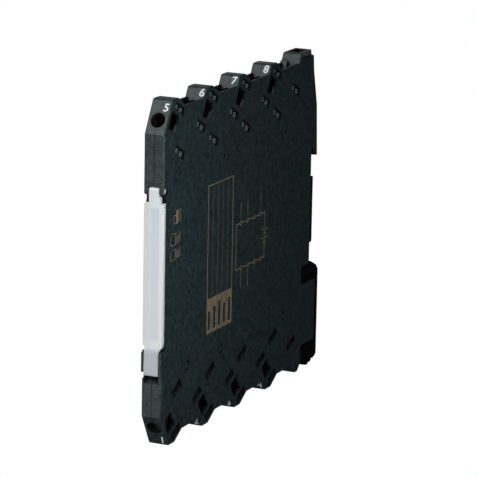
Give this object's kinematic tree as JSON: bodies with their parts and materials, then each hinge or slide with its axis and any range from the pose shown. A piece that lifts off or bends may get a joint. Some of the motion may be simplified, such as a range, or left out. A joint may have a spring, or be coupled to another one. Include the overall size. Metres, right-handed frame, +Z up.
{
  "type": "signal isolator",
  "caption": "Ultra slim signal isolator that snaps onto a 35 mm rail, with wire clamps behind slanted faces, a hinged milky front cover and a sprung rail slider.",
  "frame": {"origin": "on the plane where the housing meets the rail, half way up the rail and half way through the thickness", "axes": "+Y towards the wall behind the rail, +Z up, +X towards the printed side"},
  "size_m": [0.006, 0.1026, 0.0944],
  "materials": {
    "housing": "fine spark-eroded texture, dark green-black",
    "cover": "milky translucent polycarbonate",
    "black_plastic": "satin black",
    "contact_copper": "rolled copper alloy strip",
    "spring_steel": "rolled spring strip",
    "board": "green solder mask on glass epoxy",
    "trimmer_case": "blue moulded case",
    "trimmer_brass": "turned brass",
    "lamp": "clear green epoxy",
    "ferrite": "pressed and sintered",
    "bobbin_plastic": "natural nylon",
    "copper_winding": "enamelled copper wire",
    "chip_epoxy": "moulded epoxy",
    "capacitor_epoxy": "moulded epoxy",
    "diode_glass": "glass body with tinned caps",
    "capacitor_ceramic": "fired ceramic",
    "resistor_ceramic": "glazed film on ceramic"
  },
  "bodies": {
    "housing": {"left_shell": "housing", "right_shell": "housing", "rail_key": "black_plastic", "slider_spring": "spring_steel", "circuit_board": "board", "zero_trimmer": "trimmer_case", "span_trimmer": "trimmer_case", "power_lamp": "lamp", "core_front_half": "ferrite", "core_rear_half": "ferrite", "bobbin": "bobbin_plastic", "primary_winding": "copper_winding", "secondary_winding": "copper_winding", "input_amplifier": "chip_epoxy", "output_amplifier": "chip_epoxy", "supply_regulator": "chip_epoxy", "processor": "chip_epoxy", "optocoupler": "chip_epoxy", "input_capacitor": "capacitor_epoxy", "output_capacitor": "capacitor_epoxy", "diodes": "diode_glass", "choke": "ferrite", "ceramic_capacitors": "capacitor_ceramic", "resistors": "resistor_ceramic", "current_bar_1": "contact_copper", "clamp_spring_1": "spring_steel", "current_bar_2": "contact_copper", "clamp_spring_2": "spring_steel", "current_bar_3": "contact_copper", "clamp_spring_3": "spring_steel", "current_bar_4": "contact_copper", "clamp_spring_4": "spring_steel", "current_bar_5": "contact_copper", "clamp_spring_5": "spring_steel", "current_bar_6": "contact_copper", "clamp_spring_6": "spring_steel", "current_bar_7": "contact_copper", "clamp_spring_7": "spring_steel", "current_bar_8": "contact_copper", "clamp_spring_8": "spring_steel"},
    "cover": {"front_cover": "cover"},
    "slider": {"rail_slider": "black_plastic"},
    "zero_adjuster": {"zero_screw": "trimmer_brass"},
    "span_adjuster": {"span_screw": "trimmer_brass"}
  },
  "joints": [
    {"name": "cover_hinge", "type": "hinge", "parent": "housing", "child": "cover", "pos_m": [0, -0.09415, 0.02335], "axis": [-1, 0, 0], "range_deg": [0, 90]},
    {"name": "rail_release", "type": "slide", "parent": "housing", "child": "slider", "axis": [0, 0, 1], "range_m": [-0.0021, 0], "stiffness_N_per_m": 800, "springref_m": 0.002, "deforming": ["slider_spring"]},
    {"name": "zero_adjust", "type": "hinge", "parent": "housing", "child": "zero_adjuster", "pos_m": [0.0004, -0.0892, 0.009], "axis": [0, -1, 0], "range_deg": [-135, 135]},
    {"name": "span_adjust", "type": "hinge", "parent": "housing", "child": "span_adjuster", "pos_m": [0.0004, -0.0892, 0.002], "axis": [0, -1, 0], "range_deg": [-135, 135]}
  ]
}
